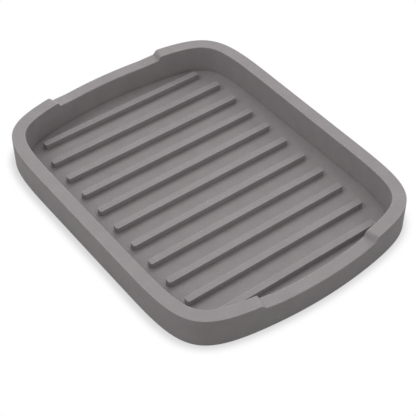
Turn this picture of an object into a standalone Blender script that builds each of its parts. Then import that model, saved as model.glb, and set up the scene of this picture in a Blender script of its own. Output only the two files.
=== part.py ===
"""Soap dish: a low moulded tray with a raised rim, a dip in the rim at each short end, and a row of
drain ribs that hold the soap clear of the wet floor.

The real dish is one soft moulding. It is modelled here as the solids that the moulding is made up of:
the floor plate, the rim that stands on it all round, and the ribs that stand on it inside the rim.
They meet face to face at the level of the floor's upper face.

Metres, +Z up. +X runs along the dish, +Y along the ribs, and the origin is on the ground under the
middle of the dish.
"""

import math

import bmesh
import bpy
from mathutils import Vector

# Overall size
LENGTH = 0.1400
WIDTH = 0.1071
HEIGHT = 0.0128

# Outline: straight long sides, short ends bowed outwards, and a corner curve that joins the two.
# The corner is one cubic curve, and its two pulls say how far its handles reach towards the point
# where the straight side and the end would meet.
END_BOW_RADIUS = 0.1760
END_BOW_LENGTH = 0.0522
CORNER_RUN = 0.0420
END_PULL_SHARE = 0.922
SIDE_PULL_SHARE = 0.816

# Floor plate
FLOOR_THICKNESS = 0.0012
GROUND_EDGE_RADIUS = 0.0006

# Rim, whose inner face leans in by a little at the foot of the two short ends
RIM_WIDTH = 0.0052
RIM_EDGE_RADIUS = 0.0003
END_WALL_LEAN = 0.0007

# Dip in the rim at each short end, measured from crest to crest along the middle of the rim. Its sill
# is level in the middle, rises a little towards either crest, and the short ramp beside the crest takes
# it up to the rim. The ramp's foot runs straight across the rim and its crest aslant: the slant is how
# much further apart the crests are at the outer edge than at the inner edge, on each side of the dip.
# The power is 1 for a ramp that is alike at its foot and its crest, and less for one that is steeper at
# its foot.
DIP_LENGTH = 0.0526
DIP_DEPTH = 0.0025
DIP_RAMP = 0.0019
DIP_RAMP_POWER = 0.85
DIP_CREST_SLANT = 0.0008
SILL_RUN = 0.0097
SILL_RISE = 0.0007

# Drain ribs
RIB_COUNT = 11
RIB_WIDTH = 0.0028
RIB_HEIGHT = 0.0025
RIB_END_GAP = 0.0099
RIB_SIDE_GAP = 0.0078
RIB_CORNER_GAP = 0.0057
RIB_CORNER_RADIUS = 0.0008
RIB_EDGE_RADIUS = 0.0003

# Fineness of the curves
BOW_STEPS = 4
SILL_STEPS = 4
RAMP_STEPS = 8
CORNER_STEPS = 16
SIDE_STEPS = 2
EDGE_STEPS = 3
SMOOTH_ANGLE = math.radians(35)

# Colour of the matt warm grey rubber
RUBBER_COLOUR = (0.310, 0.293, 0.297, 1.0)
RUBBER_ROUGHNESS = 0.72


def clear_scene():
    """Remove whatever the open file holds."""
    for item in list(bpy.data.objects):
        bpy.data.objects.remove(item, do_unlink=True)


def rubber():
    """The soft grey rubber that the whole dish is moulded in."""
    material = bpy.data.materials.new("moulded_rubber")
    material.use_nodes = True
    shader = material.node_tree.nodes["Principled BSDF"]
    shader.inputs["Base Color"].default_value = RUBBER_COLOUR
    shader.inputs["Roughness"].default_value = RUBBER_ROUGHNESS
    shader.inputs["Metallic"].default_value = 0.0
    material.diffuse_color = RUBBER_COLOUR
    return material


def corner_handles():
    """The four control points of the corner curve, from the bowed end to the straight side."""
    angle = math.asin(END_BOW_LENGTH / 2 / END_BOW_RADIUS)
    start, normal = bow_station(END_BOW_LENGTH / 2)
    tangent = Vector((-normal.y, normal.x))
    meeting = start + tangent * ((WIDTH - END_BOW_LENGTH) / 2 / math.cos(angle))
    finish = Vector((LENGTH / 2 - CORNER_RUN, WIDTH / 2))
    return start, start.lerp(meeting, END_PULL_SHARE), finish.lerp(meeting, SIDE_PULL_SHARE), finish


def bow_station(y):
    """Point and outward normal of the bowed end, at the distance y from the long axis."""
    angle = math.asin(y / END_BOW_RADIUS)
    normal = Vector((math.cos(angle), math.sin(angle)))
    centre = Vector((LENGTH / 2 - END_BOW_RADIUS, 0.0))
    return centre + normal * END_BOW_RADIUS, normal


def corner_station(t):
    """Point and outward normal of the corner curve, with t from 0 at the end to 1 at the side."""
    a, b, c, d = corner_handles()
    s = 1.0 - t
    point = a * s**3 + b * (3 * s * s * t) + c * (3 * s * t * t) + d * t**3
    tangent = (b - a) * s * s + (c - b) * (2 * s * t) + (d - c) * t * t
    return point, Vector((tangent.y, -tangent.x)).normalized()


def corner_parameter(y):
    """The t at which the corner curve is at the distance y from the long axis."""
    low, high = 0.0, 1.0
    for _ in range(50):
        middle = (low + high) / 2
        if corner_station(middle)[0].y < y:
            low = middle
        else:
            high = middle
    return (low + high) / 2


def steps(start, stop, count):
    """Evenly spaced values after start, up to and including stop."""
    return [start + (stop - start) * (i + 1) / count for i in range(count)]


def quarter_outline():
    """Stations (point, normal) of one quarter, from the tip of the +X end to the middle of the +Y side.

    The stations are close together along the sill and the ramp of the dip, which the rim follows.
    """
    bow_half = END_BOW_LENGTH / 2
    crest = crest_distance(0.0)
    level = DIP_LENGTH / 2 - SILL_RUN
    foot = DIP_LENGTH / 2 - DIP_RAMP
    distances = [0.0] + steps(0.0, level, BOW_STEPS) + steps(level, foot, SILL_STEPS)
    distances += steps(foot, crest, RAMP_STEPS)
    if crest < bow_half:
        distances.append(bow_half)
    stations = []
    for y in distances:
        if y <= bow_half:
            stations.append(bow_station(y))
        else:
            stations.append(corner_station(corner_parameter(y)))
    start = corner_parameter(crest) if crest > bow_half else 0.0
    for t in steps(start, 1.0, CORNER_STEPS):
        stations.append(corner_station(t))
    for x in steps(LENGTH / 2 - CORNER_RUN, 0.0, SIDE_STEPS):
        stations.append((Vector((x, WIDTH / 2)), Vector((0.0, 1.0))))
    return stations


def outline():
    """Stations of the whole outline, counter-clockwise from the tip of the +X end."""
    first = quarter_outline()
    second = [(Vector((-p.x, p.y)), Vector((-n.x, n.y))) for p, n in reversed(first)]
    upper = first + second[1:]
    lower = [(Vector((p.x, -p.y)), Vector((n.x, -n.y))) for p, n in reversed(upper)]
    return upper + lower[1:-1]


def smooth_share(y, start, stop, power=1.0):
    """Share of a smooth rise that is done at y: none up to the start, and all from the stop on."""
    share = min(max((y - start) / (stop - start), 0.0), 1.0) ** power
    return share * share * (3.0 - 2.0 * share)


def crest_distance(across):
    """Distance of a crest from the long axis: across is 0 at the rim's outer edge and 1 at its inner."""
    return DIP_LENGTH / 2 + DIP_CREST_SLANT * (0.5 - across)


def rim_drop(y, across):
    """How far the rim dips below its full height, at the distance y from the long axis."""
    middle = DIP_LENGTH / 2
    sill = SILL_RISE * smooth_share(y, middle - SILL_RUN, middle)
    ramp = smooth_share(y, middle - DIP_RAMP, crest_distance(across), DIP_RAMP_POWER)
    return DIP_DEPTH - sill - (DIP_DEPTH - SILL_RISE) * ramp


def crown_heights(stations, across):
    """Heights of the rim's upper face above the floor, along its outer edge (0) or its inner edge (1)."""
    return [HEIGHT - FLOOR_THICKNESS - rim_drop(abs(p.y), across) for p, _ in stations]


def foot_inset(normal):
    """Thickness of the rim at its foot, where its outward normal is the one given."""
    return RIM_WIDTH + END_WALL_LEAN * abs(normal.x)


def well_half_width(x):
    """Half the width of the well at its foot, at the distance x from the middle of the dish."""
    edge = [p - n * foot_inset(n) for p, n in quarter_outline()]
    for outer, inner in zip(edge, edge[1:]):
        if inner.x <= x <= outer.x:
            share = (outer.x - x) / (outer.x - inner.x)
            return outer.y + (inner.y - outer.y) * share
    return 0.0


def add_loop(bm, points, heights):
    """Add a closed loop of edges through the points, and return the edges."""
    verts = [bm.verts.new((p.x, p.y, z)) for p, z in zip(points, heights)]
    return [bm.edges.new((a, b)) for a, b in zip(verts, verts[1:] + verts[:1])]


def round_edges(bm, edges, radius):
    """Round the edges given with an arc of the radius given."""
    bmesh.ops.bevel(
        bm,
        geom=edges,
        offset=radius,
        offset_type="OFFSET",
        segments=EDGE_STEPS,
        profile=0.5,
        affect="EDGES",
        clamp_overlap=True,
        material=-1,
    )


def finish_mesh(name, bm, material):
    """Turn a bmesh into a named mesh, shaded smooth but for its sharp edges."""
    bmesh.ops.recalc_face_normals(bm, faces=bm.faces)
    mesh = bpy.data.meshes.new(name)
    bm.to_mesh(mesh)
    bm.free()
    mesh.shade_smooth()
    mesh.set_sharp_from_angle(angle=SMOOTH_ANGLE)
    mesh.materials.append(material)
    return mesh


def place_object(name, mesh, parent, height):
    """Put a mesh into the scene as a named object under the parent, at the height given."""
    item = bpy.data.objects.new(name, mesh)
    bpy.context.scene.collection.objects.link(item)
    item.parent = parent
    item.location.z = height
    return item


def build_floor(material, parent):
    """The flat floor plate, with its ground edge rounded all round."""
    points = [p for p, _ in outline()]
    bm = bmesh.new()
    ground = add_loop(bm, points, [0.0] * len(points))
    top = add_loop(bm, points, [FLOOR_THICKNESS] * len(points))
    bmesh.ops.bridge_loops(bm, edges=ground + top)
    for ring in (ground, top):
        bmesh.ops.contextual_create(bm, geom=ring)
    round_edges(bm, ground, min(GROUND_EDGE_RADIUS, FLOOR_THICKNESS))
    place_object("base_floor", finish_mesh("base_floor", bm, material), parent, 0.0)


def build_rim(material, parent):
    """The rim, standing on the floor plate all round, with its two dips."""
    stations = outline()
    outer = [p for p, _ in stations]
    inner = [p - n * RIM_WIDTH for p, n in stations]
    foot = [p - n * foot_inset(n) for p, n in stations]
    ground = [0.0] * len(stations)
    bm = bmesh.new()
    outer_foot = add_loop(bm, outer, ground)
    outer_top = add_loop(bm, outer, crown_heights(stations, 0.0))
    inner_top = add_loop(bm, inner, crown_heights(stations, 1.0))
    inner_foot = add_loop(bm, foot, ground)
    rings = [outer_foot, outer_top, inner_top, inner_foot]
    for lower, upper in zip(rings, rings[1:] + rings[:1]):
        bmesh.ops.bridge_loops(bm, edges=lower + upper)
    round_edges(bm, outer_top + inner_top, RIM_EDGE_RADIUS)
    place_object("rim_wall", finish_mesh("rim_wall", bm, material), parent, FLOOR_THICKNESS)


def rib_mesh(name, length, material):
    """A straight rib along Y with round corners, rounded along its upper edge."""
    bm = bmesh.new()
    bmesh.ops.create_cube(bm, size=1.0)
    bmesh.ops.translate(bm, verts=bm.verts, vec=(0.0, 0.0, 0.5))
    bmesh.ops.scale(bm, verts=bm.verts, vec=(RIB_WIDTH, length, RIB_HEIGHT))
    upright = [e for e in bm.edges if abs(e.verts[0].co.z - e.verts[1].co.z) > RIB_HEIGHT / 2]
    round_edges(bm, upright, RIB_CORNER_RADIUS)
    upper = [e for e in bm.edges if min(v.co.z for v in e.verts) > RIB_HEIGHT / 2]
    round_edges(bm, upper, RIB_EDGE_RADIUS)
    return finish_mesh(name, bm, material)


def rib_length(x):
    """Length of the rib at x: it stops short of the long sides, and shorter still near a corner."""
    beside_sides = WIDTH / 2 - RIM_WIDTH - RIB_SIDE_GAP
    beside_corner = well_half_width(abs(x) + RIB_WIDTH / 2) - RIB_CORNER_GAP
    return 2 * min(beside_sides, beside_corner)


def build_ribs(material, parent):
    """The row of ribs on the floor plate, evenly spaced between the two short ends."""
    last = LENGTH / 2 - RIM_WIDTH - RIB_END_GAP
    pitch = 2 * last / (RIB_COUNT - 1)
    meshes = {}
    for i in range(RIB_COUNT):
        x = i * pitch - last
        length = rib_length(x)
        key = round(length, 6)
        if key not in meshes:
            meshes[key] = rib_mesh("drain_rib", length, material)
        rib = place_object(f"drain_rib_{i + 1:02d}", meshes[key], parent, FLOOR_THICKNESS)
        rib.location.x = x


def main():
    """Build the dish under one empty."""
    clear_scene()
    dish = bpy.data.objects.new("soap_dish", None)
    bpy.context.scene.collection.objects.link(dish)
    material = rubber()
    build_floor(material, dish)
    build_rim(material, dish)
    build_ribs(material, dish)
    bpy.context.view_layer.update()


main()
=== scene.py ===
"""Looks of a soap dish moulded in matt silicone rubber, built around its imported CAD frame.

The dish is one moulding. The frame holds it as a floor plate, a rim and a row of drain ribs. Here the
floor and the rim become one seamless shell, and each rib gets its moulded radii and runs out into the
floor of the shell. All lengths are metres, in the frame's own axes: +X along the dish, +Y along the
ribs, +Z up.
"""

import logging
import math
from dataclasses import dataclass
from typing import Callable

import bmesh
import bpy
from mathutils import Matrix, Vector


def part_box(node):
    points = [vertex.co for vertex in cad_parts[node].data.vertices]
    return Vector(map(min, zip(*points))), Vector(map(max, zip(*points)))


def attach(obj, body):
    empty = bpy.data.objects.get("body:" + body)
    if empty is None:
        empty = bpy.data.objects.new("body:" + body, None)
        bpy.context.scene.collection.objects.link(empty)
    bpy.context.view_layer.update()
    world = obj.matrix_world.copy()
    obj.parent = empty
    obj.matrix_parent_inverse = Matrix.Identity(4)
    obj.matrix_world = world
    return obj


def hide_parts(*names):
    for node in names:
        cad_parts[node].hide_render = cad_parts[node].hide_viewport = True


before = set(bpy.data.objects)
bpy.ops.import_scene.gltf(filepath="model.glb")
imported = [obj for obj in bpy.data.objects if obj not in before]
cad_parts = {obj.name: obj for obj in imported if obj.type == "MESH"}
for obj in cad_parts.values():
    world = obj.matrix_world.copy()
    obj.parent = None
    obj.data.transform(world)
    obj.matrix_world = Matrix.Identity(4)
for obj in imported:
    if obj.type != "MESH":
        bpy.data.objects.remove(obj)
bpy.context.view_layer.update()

LOG = logging.getLogger("soap_dish")
MM = 0.001
BODY = "root"

FLOOR_NODE = "base_floor"
RIM_NODE = "rim_wall"
RIB_PREFIX = "drain_rib_"


def linear_colour(hex_code: str) -> tuple[float, float, float, float]:
    """Turn an sRGB hex colour into the linear colour that a shader socket takes.

    Args:
        hex_code: Six hex digits after a hash sign, such as "#9A9596".

    Returns:
        Linear red, green, blue and an alpha of 1.
    """
    channels = [int(hex_code[i:i + 2], 16) / 255 for i in (1, 3, 5)]
    red, green, blue = (c / 12.92 if c <= 0.04045 else ((c + 0.055) / 1.055) ** 2.4 for c in channels)
    return red, green, blue, 1.0


def add_node(
    tree: bpy.types.NodeTree,
    kind: str,
    settings: dict[str, object] | None = None,
    links: dict[str, bpy.types.NodeSocket] | None = None,
    **properties: object,
) -> bpy.types.Node:
    """Add a node to a tree, with its socket values, its links and its own properties.

    Args:
        tree: The node tree that the node goes into.
        kind: The node's type name.
        settings: Values for input sockets, by socket name.
        links: Output sockets to link from, by the name of the input they go to.
        **properties: Properties of the node itself.

    Returns:
        The new node.
    """
    node = tree.nodes.new(kind)
    for name, value in properties.items():
        setattr(node, name, value)
    for name, value in (settings or {}).items():
        node.inputs[name].default_value = value
    for name, source in (links or {}).items():
        tree.links.new(source, node.inputs[name])
    return node


@dataclass(frozen=True)
class SiliconeRubber:
    """Compression-moulded silicone rubber, matt from a spark-eroded mould.

    To the eye it is a warm mid grey with no highlight to speak of. What light it throws back along its
    edges is a broad, dull sheen, and a fine grain keeps even its flat faces from looking like card. Its
    tone drifts faintly over some millimetres. Its creases and its foot by the paper are darkened with
    painted shade, and its edges are lightened with a painted highlight. The grain that such a mould
    leaves is about a tenth of a millimetre across. That is too fine to show from where the dish is seen,
    so it is drawn as coarse and as deep as it needs to show.
    """

    name: str = "moulded_silicone"
    colour: str = "#9A9596"
    dark_patch: str = "#959091"
    patch_blend: tuple[float, float] = (0.35, 0.65)
    roughness: float = 0.68
    ior: float = 1.41
    sheen: float = 0.02
    sheen_roughness: float = 0.45
    patch_size: float = 7.0 * MM
    grain_size: float = 0.7 * MM
    grain_height: float = 0.14 * MM
    # Painted shade: the colour is darkened in creases, between ribs and floor, and at the foot by the
    # paper.
    painted_shade_reach: float = 0.9 * MM
    painted_shade_tone: float = 0.36
    # Painted highlight: the colour is lightened along the convex edges.
    painted_highlight_reach: float = 0.5 * MM
    painted_highlight_tone: float = 1.50
    tone_samples: int = 16

    def build(self) -> bpy.types.Material:
        """Make the material.

        Returns:
            A material that reads Object coordinates only.
        """
        material = bpy.data.materials.new(self.name)
        material.use_nodes = True
        material.diffuse_color = linear_colour(self.colour)
        tree = material.node_tree
        tree.nodes.clear()
        place = add_node(tree, "ShaderNodeTexCoord").outputs["Object"]
        colour = self._patches(tree, place)
        # Painted shade darkens the colour in the creases and at the foot by the paper.
        colour = self._painted_light(tree, colour, self.painted_shade_reach, self.painted_shade_tone, inside=False)
        # A painted highlight lightens the colour along the edges.
        colour = self._painted_light(tree, colour, self.painted_highlight_reach, self.painted_highlight_tone, inside=True)
        shader = add_node(
            tree, "ShaderNodeBsdfPrincipled",
            {
                "Roughness": self.roughness,
                "IOR": self.ior,
                "Sheen Weight": self.sheen,
                "Sheen Roughness": self.sheen_roughness,
            },
            {"Base Color": colour, "Normal": self._grain(tree, place)},
        )
        add_node(tree, "ShaderNodeOutputMaterial", links={"Surface": shader.outputs["BSDF"]})
        return material

    def _patches(self, tree: bpy.types.NodeTree, place: bpy.types.NodeSocket) -> bpy.types.NodeSocket:
        """Blend the two greys in soft patches.

        Args:
            tree: The material's node tree.
            place: The socket that gives the place on the dish.

        Returns:
            The socket that gives the colour.
        """
        patches = add_node(
            tree, "ShaderNodeTexNoise",
            {"Scale": 1.0 / self.patch_size, "Detail": 3.0, "Roughness": 0.6},
            {"Vector": place},
        )
        blend = add_node(tree, "ShaderNodeValToRGB", links={"Fac": patches.outputs["Fac"]})
        dark, plain = blend.color_ramp.elements
        dark.position, plain.position = self.patch_blend
        dark.color, plain.color = linear_colour(self.dark_patch), linear_colour(self.colour)
        return blend.outputs["Color"]

    def _grain(self, tree: bpy.types.NodeTree, place: bpy.types.NodeSocket) -> bpy.types.NodeSocket:
        """Roughen the surface with the grain that the mould leaves.

        Args:
            tree: The material's node tree.
            place: The socket that gives the place on the dish.

        Returns:
            The socket that gives the roughened normal.
        """
        grain = add_node(
            tree, "ShaderNodeTexNoise",
            {"Scale": 1.0 / self.grain_size, "Detail": 2.0, "Roughness": 0.5},
            {"Vector": place},
        )
        bump = add_node(
            tree, "ShaderNodeBump",
            {"Strength": 1.0, "Distance": self.grain_height},
            {"Height": grain.outputs["Fac"]},
        )
        return bump.outputs["Normal"]

    def _painted_light(
        self,
        tree: bpy.types.NodeTree,
        colour: bpy.types.NodeSocket,
        reach: float,
        tone: float,
        inside: bool,
    ) -> bpy.types.NodeSocket:
        """Multiply a colour by a painted shade in the creases, or by a painted highlight along the edges.

        Args:
            tree: The material's node tree.
            colour: The socket that gives the colour.
            reach: How far from a crease or an edge the tone shows.
            tone: What the colour is multiplied by where the tone is strongest.
            inside: Whether to feel for other faces from inside the rubber, which finds the edges.

        Returns:
            The socket that gives the toned colour.
        """
        nearby = add_node(
            tree, "ShaderNodeAmbientOcclusion",
            {"Distance": reach},
            samples=self.tone_samples, inside=inside, only_local=inside,
        )
        share = add_node(
            tree, "ShaderNodeMapRange",
            {"To Min": tone, "To Max": 1.0},
            {"Value": nearby.outputs["AO"]},
        )
        toned = add_node(tree, "ShaderNodeVectorMath", operation="SCALE")
        tree.links.new(colour, toned.inputs["Vector"])
        tree.links.new(share.outputs["Result"], toned.inputs["Scale"])
        return toned.outputs["Vector"]


@dataclass(frozen=True)
class Station:
    """A place on an outline seen from above: a point, and the way out of the shape at that point."""

    point: Vector
    normal: Vector

    def at(self, inset: float, height: float) -> Vector:
        """The point that lies so far inside the outline, at the height given."""
        flat = self.point - self.normal * inset
        return Vector((flat.x, flat.y, height))

    def mirrored(self, x: int, y: int) -> "Station":
        """The same station on the other side of an axis, for signs of 1 or -1."""
        return Station(
            Vector((self.point.x * x, self.point.y * y)),
            Vector((self.normal.x * x, self.normal.y * y)),
        )


@dataclass(frozen=True)
class Corner:
    """A corner of a cross-section: how far in it lies, how high, and the radius that rounds it."""

    inset: float
    height: float
    radius: float = 0.0


def steps(start: float, stop: float, count: int) -> list[float]:
    """Evenly spaced values after start, up to and including stop."""
    return [start + (stop - start) * (i + 1) / count for i in range(count)]


@dataclass(frozen=True)
class Section:
    """A cross-section through a moulded wall, as corners joined by straight lines and rounded.

    Its points are dense round each corner. A straight run has a point close to either end, so that a
    flat face is shaded flat, and a few in between. A point that would lie on the one before it, as at a
    corner without a radius, is left out.
    """

    corners: tuple[Corner, ...]
    arc_steps: int = 6
    run_steps: int = 3
    margin: float = 0.12 * MM
    least_gap: float = 0.001 * MM

    def points(self) -> list[tuple[float, float]]:
        """Work out the section's points.

        Returns:
            Pairs of inset and height, from the first corner to the last.
        """
        places = [Vector((c.inset, c.height)) for c in self.corners]
        found = [places[0]]
        for i in range(1, len(places) - 1):
            arc = self._arc(places[i - 1], places[i], places[i + 1], self.corners[i].radius)
            found += self._run(found[-1], arc[0]) + arc
        found += self._run(found[-1], places[-1]) + [places[-1]]
        apart = [on for back, on in zip(found, found[1:]) if (on - back).length > self.least_gap]
        return [(p.x, p.y) for p in found[:1] + apart]

    def _arc(self, before: Vector, corner: Vector, after: Vector, radius: float) -> list[Vector]:
        """Round a corner with an arc.

        Args:
            before: The corner before it.
            corner: The corner.
            after: The corner after it.
            radius: The arc's radius.

        Returns:
            The arc's points, both ends included.
        """
        back = (before - corner).normalized()
        on = (after - corner).normalized()
        half = back.angle(on) / 2
        reach = radius / math.tan(half)
        centre = corner + (back + on).normalized() * (radius / math.sin(half))
        first = corner + back * reach - centre
        last = corner + on * reach - centre
        turn = math.atan2(first.x * last.y - first.y * last.x, first.dot(last))
        angles = [turn * i / self.arc_steps for i in range(self.arc_steps + 1)]
        return [centre + Matrix.Rotation(a, 2) @ first for a in angles]

    def _run(self, start: Vector, stop: Vector) -> list[Vector]:
        """Divide a straight run.

        Args:
            start: Where the run starts.
            stop: Where it stops.

        Returns:
            Points between its ends, both ends left out.
        """
        length = (stop - start).length
        if length < 3 * self.margin:
            return [start.lerp(stop, s) for s in steps(0.0, 1.0, self.run_steps + 1)[:-1]]
        near = self.margin / length
        shares = [near] + steps(near, 1.0 - near, self.run_steps - 1)
        return [start.lerp(stop, s) for s in shares]


class Sweep:
    """A closed skin, made by pulling a ring of edges from one place of a cross-section to the next."""

    def __init__(self, stations: list[Station]) -> None:
        """Start an empty skin.

        Args:
            stations: The outline that each ring follows, counter-clockwise seen from above.
        """
        self.stations = stations
        self.bm = bmesh.new()

    def skin(self, section_at: Callable[[Station], Section]) -> bmesh.types.BMesh:
        """Pull the rings, and close the skin at both ends.

        Args:
            section_at: Gives the cross-section that stands at a station.

        Returns:
            The closed skin, its faces pointing out.
        """
        sections = [section_at(s).points() for s in self.stations]
        made = bmesh.ops.create_circle(self.bm, cap_ends=False, segments=len(self.stations), radius=1.0)
        ring = sorted(made["verts"], key=lambda v: math.atan2(v.co.y, v.co.x) % math.tau)
        self._place(ring, sections, 0)
        edges = self._edges(ring)
        first = edges
        for level in range(1, len(sections[0])):
            pulled = bmesh.ops.extrude_edge_only(self.bm, edges=edges)["geom"]
            ring = self._followers(ring, [v for v in pulled if isinstance(v, bmesh.types.BMVert)])
            self._place(ring, sections, level)
            edges = self._edges(ring)
        for loop in (first, edges):
            bmesh.ops.contextual_create(self.bm, geom=loop)
        bmesh.ops.recalc_face_normals(self.bm, faces=self.bm.faces)
        self._settle()
        return self.bm

    def _settle(self) -> None:
        """Put the skin's elements in the order of their places, so that every run gives the same mesh."""
        for elements in (self.bm.verts, self.bm.edges, self.bm.faces):
            for index, element in enumerate(sorted(elements, key=self._middle)):
                element.index = index
            elements.sort()

    @staticmethod
    def _middle(
        element: bmesh.types.BMVert | bmesh.types.BMEdge | bmesh.types.BMFace
    ) -> tuple[float, ...]:
        """Middle of a vertex, an edge or a face."""
        corners = sorted(tuple(v.co) for v in getattr(element, "verts", [element]))
        return tuple(sum(axis) / len(corners) for axis in zip(*corners))

    def _place(
        self, ring: list[bmesh.types.BMVert], sections: list[list[tuple[float, float]]], level: int
    ) -> None:
        """Move the ring's vertices to one level of the cross-sections."""
        for vert, station, section in zip(ring, self.stations, sections):
            vert.co = station.at(*section[level])

    @staticmethod
    def _edges(ring: list[bmesh.types.BMVert]) -> list[bmesh.types.BMEdge]:
        """Find the edges that join the vertices of a ring.

        Args:
            ring: The vertices, in order.

        Returns:
            The edges, in the same order.
        """
        found = []
        for a, b in zip(ring, ring[1:] + ring[:1]):
            found.append(next(e for e in a.link_edges if e.other_vert(a) is b))
        return found

    @staticmethod
    def _followers(
        ring: list[bmesh.types.BMVert], new: list[bmesh.types.BMVert]
    ) -> list[bmesh.types.BMVert]:
        """The new vertex that was pulled out of each vertex of a ring, in the ring's order."""
        fresh = set(new)
        return [next(e.other_vert(v) for e in v.link_edges if e.other_vert(v) in fresh) for v in ring]


@dataclass(frozen=True)
class DishPlan:
    """The dish seen from above: straight long sides, bowed short ends and a free curve between them.

    The curve's two pulls say how far its handles reach towards the point where the end and the side
    would meet. The crests of the dips lie on its first small share, which has stations close together.
    """

    length: float
    width: float
    bow_radius: float = 176.0 * MM
    bow_length: float = 52.2 * MM
    corner_run: float = 42.0 * MM
    end_pull_share: float = 0.922
    side_pull_share: float = 0.816
    crest_share: float = 0.015
    crest_steps: int = 8
    corner_steps: int = 30
    side_steps: int = 6

    def bow_station(self, y: float) -> Station:
        """Find a place on the bowed +X end.

        Args:
            y: Distance from the long axis.

        Returns:
            The station there.
        """
        angle = math.asin(y / self.bow_radius)
        normal = Vector((math.cos(angle), math.sin(angle)))
        centre = Vector((self.length / 2 - self.bow_radius, 0.0))
        return Station(centre + normal * self.bow_radius, normal)

    def corner_station(self, share: float) -> Station:
        """Find a place on the corner curve.

        Args:
            share: How far along the curve, from 0 at the bowed end to 1 at the straight side.

        Returns:
            The station there.
        """
        angle = math.asin(self.bow_length / 2 / self.bow_radius)
        start = self.bow_station(self.bow_length / 2)
        tangent = Vector((-start.normal.y, start.normal.x))
        meeting = start.point + tangent * ((self.width - self.bow_length) / 2 / math.cos(angle))
        a, d = start.point, Vector((self.length / 2 - self.corner_run, self.width / 2))
        b, c = a.lerp(meeting, self.end_pull_share), d.lerp(meeting, self.side_pull_share)
        t, s = share, 1.0 - share
        point = a * s**3 + b * (3 * s * s * t) + c * (3 * s * t * t) + d * t**3
        along = (b - a) * s * s + (c - b) * (2 * s * t) + (d - c) * t * t
        return Station(point, Vector((along.y, -along.x)).normalized())

    def stations(self, places: list[float]) -> list[Station]:
        """Work out the whole outline.

        Args:
            places: Distances from the long axis of stations on the bowed end, all short of its end.

        Returns:
            The stations, counter-clockwise from the tip of the +X end.
        """
        first = [self.bow_station(y) for y in places + [self.bow_length / 2]]
        shares = steps(0.0, self.crest_share, self.crest_steps)
        shares += steps(self.crest_share, 1.0, self.corner_steps)
        first += [self.corner_station(t) for t in shares]
        for x in steps(self.length / 2 - self.corner_run, 0.0, self.side_steps):
            first.append(Station(Vector((x, self.width / 2)), Vector((0.0, 1.0))))
        upper = first + [s.mirrored(-1, 1) for s in reversed(first)][1:]
        return upper + [s.mirrored(1, -1) for s in reversed(upper)][1:-1]


@dataclass(frozen=True)
class RimDip:
    """The dip in the rim at each short end.

    Its sill is level in the middle and rises a little towards either crest. The short ramp beside the
    crest takes it up to the rim. The ramp's foot runs straight across the rim and its crest aslant, so
    the ramp is longer at the rim's outer edge. A place across the rim is given as a share of its width,
    from 0 at the outer edge to 1 at the inner one.
    """

    length: float = 52.6 * MM
    depth: float = 2.5 * MM
    ramp: float = 1.9 * MM
    ramp_power: float = 0.85
    crest_slant: float = 0.8 * MM
    sill_run: float = 9.7 * MM
    sill_rise: float = 0.7 * MM
    level_steps: int = 8
    sill_steps: int = 8
    ramp_steps: int = 18

    def drop(self, y: float, across: float) -> float:
        """How far the rim lies below its full height.

        Args:
            y: Distance from the long axis.
            across: Place across the rim.

        Returns:
            The drop, in metres.
        """
        middle = self.length / 2
        sill = self.sill_rise * self._share(y, middle - self.sill_run, middle)
        ramp = self._share(y, middle - self.ramp, self._crest(across), self.ramp_power)
        return self.depth - sill - (self.depth - self.sill_rise) * ramp

    def places(self, stop: float) -> list[float]:
        """Choose where the outline needs stations to follow the dip.

        Args:
            stop: Distance from the long axis that all of them stay short of.

        Returns:
            Their distances from the long axis.
        """
        level, foot = self.length / 2 - self.sill_run, self.length / 2 - self.ramp
        found = [0.0] + steps(0.0, level, self.level_steps) + steps(level, foot, self.sill_steps)
        found += steps(foot, self._crest(0.0), self.ramp_steps)
        return [y for y in found if y < stop]

    def _crest(self, across: float) -> float:
        """Distance of the crest from the long axis at a place across the rim."""
        return self.length / 2 + self.crest_slant * (0.5 - across)

    @staticmethod
    def _share(y: float, start: float, stop: float, power: float = 1.0) -> float:
        """Share of a smooth rise from start to stop that is done at the distance y."""
        share = min(max((y - start) / (stop - start), 0.0), 1.0) ** power
        return share * share * (3.0 - 2.0 * share)


def finish_piece(name: str, bm: bmesh.types.BMesh, material: bpy.types.Material) -> bpy.types.Object:
    """Turn a bmesh into a smooth-shaded piece of the dish, standing at the origin.

    Args:
        name: The piece's name.
        bm: Its shape, which is used up.
        material: Its finish.

    Returns:
        The new object, which rides on the dish's one body.
    """
    mesh = bpy.data.meshes.new(name)
    bm.to_mesh(mesh)
    bm.free()
    mesh.shade_smooth()
    mesh.materials.append(material)
    piece = bpy.data.objects.new(name, mesh)
    bpy.context.scene.collection.objects.link(piece)
    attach(piece, BODY)
    LOG.info("%s: %d faces", name, len(mesh.polygons))
    return piece


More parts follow.
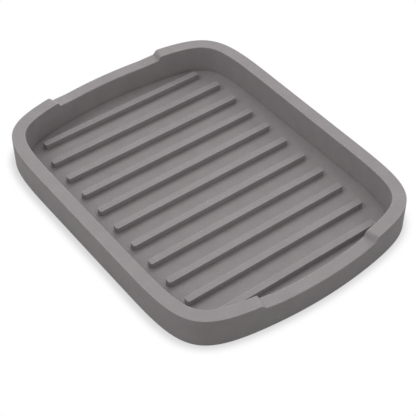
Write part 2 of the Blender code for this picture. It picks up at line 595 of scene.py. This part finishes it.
@dataclass(frozen=True)
class DishShell:
    """The floor and the rim of the dish, as the one seamless moulding that they are.

    The rim's edges are rounder on the sills of the dips than elsewhere, and its inner face leans in at
    the foot of the two short ends. The skin reaches a little way in along the underside and along the
    floor of the well, where flat faces close it.
    """

    material: bpy.types.Material
    dip: RimDip = RimDip()
    rim_width: float = 5.2 * MM
    end_lean: float = 0.7 * MM
    ground_radius: float = 0.6 * MM
    rim_radius: float = 0.2 * MM
    sill_radius: float = 0.4 * MM
    foot_radius: float = 0.2 * MM
    underside_reach: float = 3.0 * MM
    floor_reach: float = 1.0 * MM

    def build(self) -> bpy.types.Object:
        """Make the shell in the place of the frame's floor plate and rim.

        Returns:
            The shell.
        """
        low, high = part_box(RIM_NODE)
        plan = DishPlan(length=high.x - low.x, width=high.y - low.y)
        floor_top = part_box(FLOOR_NODE)[1].z
        stations = plan.stations(self.dip.places(plan.bow_length / 2))
        skin = Sweep(stations).skin(lambda s: self._section(s, floor_top, high.z))
        shell = finish_piece("dish_shell", skin, self.material)
        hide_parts(FLOOR_NODE, RIM_NODE)
        return shell

    def _section(self, station: Station, floor_top: float, rim_top: float) -> Section:
        """Draw the cross-section through the rim, from the underside to the floor of the well.

        Args:
            station: Where the rim is cut.
            floor_top: Height of the floor's upper face.
            rim_top: Full height of the rim.

        Returns:
            The cross-section.
        """
        outer, inner = (self.dip.drop(abs(station.point.y), across) for across in (0.0, 1.0))
        edge = self.rim_radius + (self.sill_radius - self.rim_radius) * outer / self.dip.depth
        foot = self.rim_width + self.end_lean * abs(station.normal.x)
        return Section((
            Corner(self.ground_radius + self.underside_reach, 0.0),
            Corner(0.0, 0.0, self.ground_radius),
            Corner(0.0, rim_top - outer, edge),
            Corner(self.rim_width, rim_top - inner, edge),
            Corner(foot, floor_top, self.foot_radius),
            Corner(foot + self.foot_radius + self.floor_reach, floor_top),
        ))


@dataclass(frozen=True)
class DrainRib:
    """One straight rib of the well, with its moulded radii. It is sunk a little into the floor."""

    node: str
    material: bpy.types.Material
    corner_radius: float = 0.8 * MM
    top_radius: float = 0.2 * MM
    foot_radius: float = 0.15 * MM
    sink: float = 0.4 * MM
    top_reach: float = 0.64 * MM
    corner_steps: int = 6

    def build(self) -> bpy.types.Object:
        """Make the rib in the place of its node.

        Returns:
            The rib.
        """
        low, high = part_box(self.node)
        skin = Sweep(self._stations(low, high)).skin(lambda _: self._section(low.z, high.z))
        rib = finish_piece(f"moulded_{self.node}", skin, self.material)
        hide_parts(self.node)
        return rib

    def _stations(self, low: Vector, high: Vector) -> list[Station]:
        """Walk round the rib, with a round corner at each end of each side.

        Args:
            low: Lowest corner of the rib's box.
            high: Highest corner of the rib's box.

        Returns:
            The rib's outline.
        """
        middle = (low + high) / 2
        arm_x = (high.x - low.x) / 2 - self.corner_radius
        arm_y = (high.y - low.y) / 2 - self.corner_radius
        found = []
        for quarter, (x, y) in enumerate(((1, 1), (-1, 1), (-1, -1), (1, -1))):
            centre = Vector((middle.x + x * arm_x, middle.y + y * arm_y))
            for i in range(self.corner_steps + 1):
                angle = math.tau / 4 * (quarter + i / self.corner_steps)
                normal = Vector((math.cos(angle), math.sin(angle)))
                found.append(Station(centre + normal * self.corner_radius, normal))
        return found

    def _section(self, floor_top: float, rib_top: float) -> Section:
        """Draw the cross-section through the rib's side, from inside the floor to its flat top.

        Args:
            floor_top: Height of the floor's upper face.
            rib_top: Height of the rib's upper face.

        Returns:
            The cross-section.
        """
        return Section((
            Corner(-self.foot_radius, floor_top - self.sink),
            Corner(-self.foot_radius, floor_top),
            Corner(0.0, floor_top, self.foot_radius),
            Corner(0.0, rib_top, self.top_radius),
            Corner(self.top_reach, rib_top),
        ))


@dataclass(frozen=True)
class ProductCamera:
    """The camera, where the photograph of the dish was taken from.

    Its angles are degrees, and its lens and sensor are in millimetres.
    """

    azimuth: float = 53.262
    elevation: float = 45.031
    roll: float = -0.358
    distance: float = 432.29 * MM
    target: tuple[float, float, float] = (9.981 * MM, -5.447 * MM, 0.26 * MM)
    focal_length: float = 99.338
    sensor: float = 36.0
    clip_start: float = 10.0 * MM

    def build(self) -> bpy.types.Object:
        """Make the camera and look through it.

        Returns:
            The camera.
        """
        data = bpy.data.cameras.new("product_camera")
        data.lens = self.focal_length
        data.sensor_width = self.sensor
        data.clip_start = self.clip_start
        camera = bpy.data.objects.new("product_camera", data)
        bpy.context.scene.collection.objects.link(camera)
        turn = Matrix.Rotation(math.radians(self.azimuth), 4, "Z")
        tilt = Matrix.Rotation(math.radians(90 - self.elevation), 4, "X")
        roll = Matrix.Rotation(math.radians(self.roll), 4, "Z")
        back = Matrix.Translation((0.0, 0.0, self.distance))
        camera.matrix_world = Matrix.Translation(self.target) @ turn @ tilt @ back @ roll
        bpy.context.scene.camera = camera
        return camera


@dataclass(frozen=True)
class Softbox:
    """A big soft lamp, far enough away to light all of the dish alike.

    Its width is the angle that it takes up in the dish's sky, and its strength is what it gives a
    surface that faces it. All its angles are degrees.
    """

    name: str
    azimuth: float
    elevation: float
    strength: float
    width: float = 25.0

    def build(self) -> bpy.types.Object:
        """Hang the lamp.

        Returns:
            The lamp.
        """
        data = bpy.data.lights.new(self.name, "SUN")
        data.angle = math.radians(self.width)
        data.energy = self.strength
        lamp = bpy.data.objects.new(self.name, data)
        bpy.context.scene.collection.objects.link(lamp)
        turn = Matrix.Rotation(math.radians(self.azimuth), 4, "Z")
        tilt = Matrix.Rotation(math.radians(90 - self.elevation), 4, "X")
        lamp.matrix_world = turn @ tilt @ Matrix.Translation((0.0, 0.0, 1.0))
        return lamp


@dataclass(frozen=True)
class Studio:
    """A sheet of pale paper in a pale room, under four soft lamps.

    A camera that looks straight at the paper or the air sees plain white. What they throw back on the
    dish is the light of a pale room, and no more. On the paper lies a close shadow round the dish, which
    leans: it is a little wider towards -X and -Y. It has its full tone where the dish hides half of the
    paper's sky, as right beside the dish, and is darker only in the gap under the rounded edge.
    """

    paper_reach: float = 6.0
    paper_colour: str = "#999999"
    shadow_reach: float = 4.9 * MM
    shadow_lean: tuple[float, float] = (0.07, 0.08)
    half_sky: float = 0.5
    shadow_tone: float = 0.70
    gap_tone: float = 0.08
    shadow_samples: int = 24
    room_light: float = 0.56
    seen_light: float = 1.0
    lamps: tuple[Softbox, ...] = (
        Softbox("back_softbox", azimuth=210.0, elevation=32.0, strength=0.44),
        Softbox("low_softbox", azimuth=240.0, elevation=12.0, strength=0.89),
        Softbox("high_softbox", azimuth=240.0, elevation=52.0, strength=0.30),
        Softbox("left_softbox", azimuth=330.0, elevation=52.0, strength=0.46),
    )

    def build(self) -> None:
        """Lay the paper, light the room and hang the lamps."""
        self._paper()
        self._room()
        for lamp in self.lamps:
            lamp.build()
        bpy.context.scene.view_settings.view_transform = "Standard"

    def _paper(self) -> None:
        """Lay the paper that the dish stands on: one face of three sides, so that no seam crosses it."""
        bm = bmesh.new()
        bmesh.ops.create_circle(bm, cap_ends=True, segments=3, radius=self.paper_reach)
        mesh = bpy.data.meshes.new("studio_paper")
        bm.to_mesh(mesh)
        bm.free()
        mesh.materials.append(self._paper_finish())
        paper = bpy.data.objects.new("studio_paper", mesh)
        bpy.context.scene.collection.objects.link(paper)

    def _paper_finish(self) -> bpy.types.Material:
        """Make matt paper, which looks plain white with a close shadow where it is seen straight.

        Returns:
            The paper's material.
        """
        material = bpy.data.materials.new("studio_paper")
        material.use_nodes = True
        tree = material.node_tree
        tree.nodes.clear()
        lit = add_node(tree, "ShaderNodeBsdfDiffuse", {"Color": linear_colour(self.paper_colour)})
        up = Vector((*self.shadow_lean, 1.0)).normalized()
        lean = add_node(tree, "ShaderNodeCombineXYZ", {"X": up.x, "Y": up.y, "Z": up.z})
        nearby = add_node(
            tree, "ShaderNodeAmbientOcclusion",
            {"Distance": self.shadow_reach},
            {"Normal": lean.outputs["Vector"]},
            samples=self.shadow_samples,
        )
        tone = add_node(tree, "ShaderNodeValToRGB", links={"Fac": nearby.outputs["AO"]})
        ramp = tone.color_ramp
        ramp.interpolation = "EASE"
        ramp.elements.new(self.half_sky)
        for element, grey in zip(ramp.elements, (self.gap_tone, self.shadow_tone, self.seen_light)):
            element.color = (grey, grey, grey, 1.0)
        white = add_node(tree, "ShaderNodeEmission", links={"Color": tone.outputs["Color"]})
        surface = add_node(tree, "ShaderNodeMixShader", links={"Fac": self._seen_straight(tree)})
        tree.links.new(lit.outputs["BSDF"], surface.inputs[1])
        tree.links.new(white.outputs["Emission"], surface.inputs[2])
        add_node(tree, "ShaderNodeOutputMaterial", links={"Surface": surface.outputs["Shader"]})
        return material

    def _room(self) -> None:
        """Light the room evenly, and show it as white behind the paper's edge."""
        world = bpy.data.worlds.new("studio_room")
        world.use_nodes = True
        tree = world.node_tree
        tree.nodes.clear()
        strength = add_node(
            tree, "ShaderNodeMapRange",
            {"To Min": self.room_light, "To Max": self.seen_light},
            {"Value": self._seen_straight(tree)},
        )
        air = add_node(
            tree, "ShaderNodeBackground",
            {"Color": linear_colour("#FFFFFF")},
            {"Strength": strength.outputs["Result"]},
        )
        add_node(tree, "ShaderNodeOutputWorld", links={"Surface": air.outputs["Background"]})
        bpy.context.scene.world = world

    @staticmethod
    def _seen_straight(tree: bpy.types.NodeTree) -> bpy.types.NodeSocket:
        """Tell rays that show a surface, straight, mirrored or through glass, from all others.

        Args:
            tree: The node tree that asks.

        Returns:
            The socket that gives 1 to such rays and 0 to others.
        """
        path = add_node(tree, "ShaderNodeLightPath")
        seen = path.outputs["Is Camera Ray"]
        for other in ("Is Glossy Ray", "Is Transmission Ray"):
            either = add_node(tree, "ShaderNodeMath", operation="MAXIMUM")
            tree.links.new(seen, either.inputs[0])
            tree.links.new(path.outputs[other], either.inputs[1])
            seen = either.outputs["Value"]
        return seen


def main() -> None:
    """Build the dish, the studio and the camera."""
    logging.basicConfig(level=logging.INFO, format="%(name)s %(message)s")
    rubber = SiliconeRubber().build()
    DishShell(rubber).build()
    for node in sorted(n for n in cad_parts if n.startswith(RIB_PREFIX)):
        DrainRib(node, rubber).build()
    Studio().build()
    ProductCamera().build()


if __name__ == "__main__":
    main()
